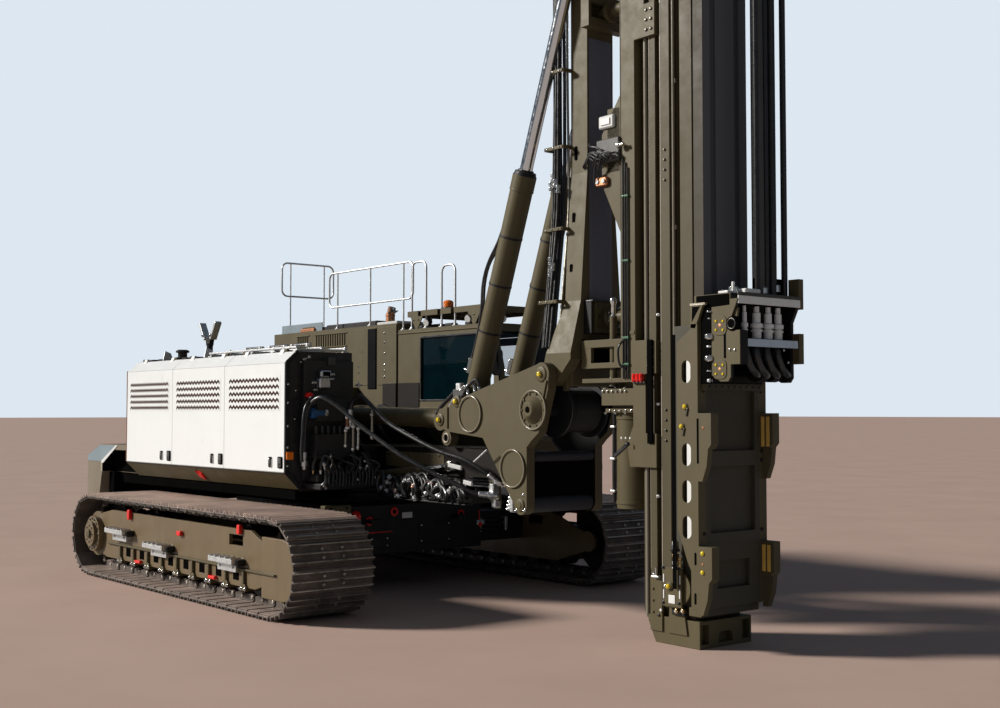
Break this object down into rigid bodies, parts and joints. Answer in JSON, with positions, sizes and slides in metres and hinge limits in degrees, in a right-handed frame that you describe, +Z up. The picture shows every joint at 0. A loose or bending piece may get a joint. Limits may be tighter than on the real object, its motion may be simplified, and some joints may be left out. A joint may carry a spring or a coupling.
{
  "type": "crawler-mounted pile driver rig with telescopic leader",
  "caption": "Crawler rig with a slewing upper machine, parallel boom, mast support and a tall telescopic leader whose sledge carries pile driving tools; it stands on its tracks and leader foot.",
  "frame": {"origin": "on the ground, under the middle of the machine's bounding box; the slewing axis is 0.925 m behind it", "axes": "+X to the front, where the leader stands, +Y to the machine's left, +Z up along the leader"},
  "size_m": [10.95, 4.9, 13.5406],
  "materials": {
    "olive_paint": "satin paint, lightly dusty",
    "dark_paint": "satin dark grey paint",
    "track_steel": "worn and dusty steel",
    "galvanised": "galvanised",
    "black_parts": "black, oily",
    "engine_paint": "grey paint",
    "white_paint": "gloss paint",
    "exhaust_metal": "heat-stained",
    "cab_glass": "tinted",
    "seat_cloth": "woven",
    "beacon_orange": "clear orange",
    "chromed_rod": "hard chrome",
    "pipe_steel": "plated"
  },
  "bodies": {
    "undercarriage": {"car_body": "dark_paint", "slew_ring": "dark_paint", "track_frame_right": "olive_paint", "track_frame_left": "olive_paint", "track_shoes_right": "track_steel", "track_shoes_left": "track_steel", "track_wheels_right": "dark_paint", "track_wheels_left": "dark_paint", "track_steps": "galvanised"},
    "upper": {"upper_frame": "olive_paint", "counterweight": "olive_paint", "power_pack_housing": "olive_paint", "hydraulic_block": "black_parts", "engine_block": "engine_paint", "hood": "olive_paint", "exhaust": "exhaust_metal", "handrails": "galvanised", "cab_shell": "olive_paint", "cab_glass": "cab_glass", "cab_seat": "seat_cloth", "roof_guard": "olive_paint", "beacon": "beacon_orange"},
    "power_pack_door_1": {"power_pack_door_1": "white_paint"},
    "power_pack_door_2": {"power_pack_door_2": "white_paint"},
    "power_pack_door_3": {"power_pack_door_3": "white_paint"},
    "cab_door": {"cab_door": "olive_paint"},
    "boom": {"base_boom": "olive_paint"},
    "parallel_link": {"parallel_link": "olive_paint"},
    "luffing_barrels": {"luff_barrels": "olive_paint"},
    "luffing_rods": {"luff_rods": "chromed_rod"},
    "boom_head": {"boom_head": "olive_paint"},
    "winch": {"winch_drum": "dark_paint"},
    "mast": {"mast_support": "olive_paint"},
    "backstay_barrels": {"backstay_barrels": "olive_paint"},
    "backstay_rods": {"backstay_rods": "chromed_rod"},
    "carriage": {"leader_carriage": "olive_paint"},
    "leader": {"leader": "olive_paint", "leader_foot": "olive_paint", "leader_pipes": "pipe_steel", "leader_crown": "olive_paint"},
    "sledge": {"inner_mast": "dark_paint", "mast_head": "olive_paint", "supply_pipes": "black_parts", "sledge": "olive_paint", "coupling_head": "olive_paint"}
  },
  "joints": [
    {"name": "slewing", "type": "hinge", "parent": "undercarriage", "child": "upper", "pos_m": [-0.925, 0, 1.18], "axis": [0, 0, 1], "continuous": true},
    {"name": "power_pack_door_1_hinge", "type": "hinge", "parent": "upper", "child": "power_pack_door_1", "pos_m": [-3.345, -1.452, 2.677], "axis": [-1, 0, 0], "range_deg": [0, 85]},
    {"name": "power_pack_door_2_hinge", "type": "hinge", "parent": "upper", "child": "power_pack_door_2", "pos_m": [-1.945, -1.452, 2.677], "axis": [-1, 0, 0], "range_deg": [0, 85]},
    {"name": "power_pack_door_3_hinge", "type": "hinge", "parent": "upper", "child": "power_pack_door_3", "pos_m": [-0.545, -1.452, 2.677], "axis": [-1, 0, 0], "range_deg": [0, 85]},
    {"name": "cab_door_hinge", "type": "hinge", "parent": "upper", "child": "cab_door", "pos_m": [-0.424, 1.617, 2.1], "axis": [0, 0, 1], "range_deg": [0, 100]},
    {"name": "boom_luffing", "type": "hinge", "parent": "upper", "child": "boom", "pos_m": [0.025, 0, 1.5], "axis": [0, -1, 0], "range_deg": [0, 25]},
    {"name": "boom_head_pivot", "type": "hinge", "parent": "boom", "child": "boom_head", "pos_m": [2.685, 0, 1.45], "axis": [0, -1, 0], "range_deg": [-25, 0]},
    {"name": "parallel_link_pivot", "type": "hinge", "parent": "upper", "child": "parallel_link", "pos_m": [-1.175, 0, 1.97], "axis": [0, -1, 0], "range_deg": [0, 25]},
    {"name": "luffing_cylinder_pivot", "type": "hinge", "parent": "upper", "child": "luffing_barrels", "pos_m": [0.255, 0, 1.29], "axis": [0, -1, 0], "range_deg": [0, 28.7]},
    {"name": "luffing_rod_slide", "type": "slide", "parent": "luffing_barrels", "child": "luffing_rods", "axis": [0.9941, 0, 0.1088], "range_m": [0, 0.1219]},
    {"name": "winch_turning", "type": "hinge", "parent": "boom_head", "child": "winch", "pos_m": [2.995, 0, 2.02], "axis": [0, 1, 0], "continuous": true},
    {"name": "mast_tilting", "type": "hinge", "parent": "boom_head", "child": "mast", "pos_m": [3.105, 0, 2.36], "axis": [0, -1, 0], "range_deg": [-5, 12]},
    {"name": "backstay_pivot", "type": "hinge", "parent": "boom_head", "child": "backstay_barrels", "pos_m": [1.775, 0, 2.11], "axis": [0, -1, 0], "range_deg": [-4.8, 10.8]},
    {"name": "backstay_rod_slide", "type": "slide", "parent": "backstay_barrels", "child": "backstay_rods", "axis": [0.3423, 0, 0.9396], "range_m": [-0.2551, 0.1092]},
    {"name": "leader_side_tilting", "type": "hinge", "parent": "mast", "child": "carriage", "pos_m": [3.515, 0, 2.9], "axis": [1, 0, 0], "range_deg": [-2.5, 2.5]},
    {"name": "leader_lifting", "type": "slide", "parent": "carriage", "child": "leader", "axis": [0, 0, 1], "range_m": [0, 1]},
    {"name": "sledge_sliding", "type": "slide", "parent": "leader", "child": "sledge", "axis": [0, 0, 1], "range_m": [0, 6]}
  ],
  "couplings": [
    {"joint": "boom_head_pivot", "follows": "boom_luffing", "ratio": -1},
    {"joint": "parallel_link_pivot", "follows": "boom_luffing", "ratio": 1},
    {"joint": "luffing_cylinder_pivot", "follows": "boom_luffing", "ratio": 1.1087},
    {"joint": "luffing_rod_slide", "follows": "boom_luffing", "m_per_rad": 0.26781},
    {"joint": "backstay_pivot", "follows": "mast_tilting", "ratio": 0.85768},
    {"joint": "backstay_rod_slide", "follows": "mast_tilting", "m_per_rad": -1.1943}
  ]
}
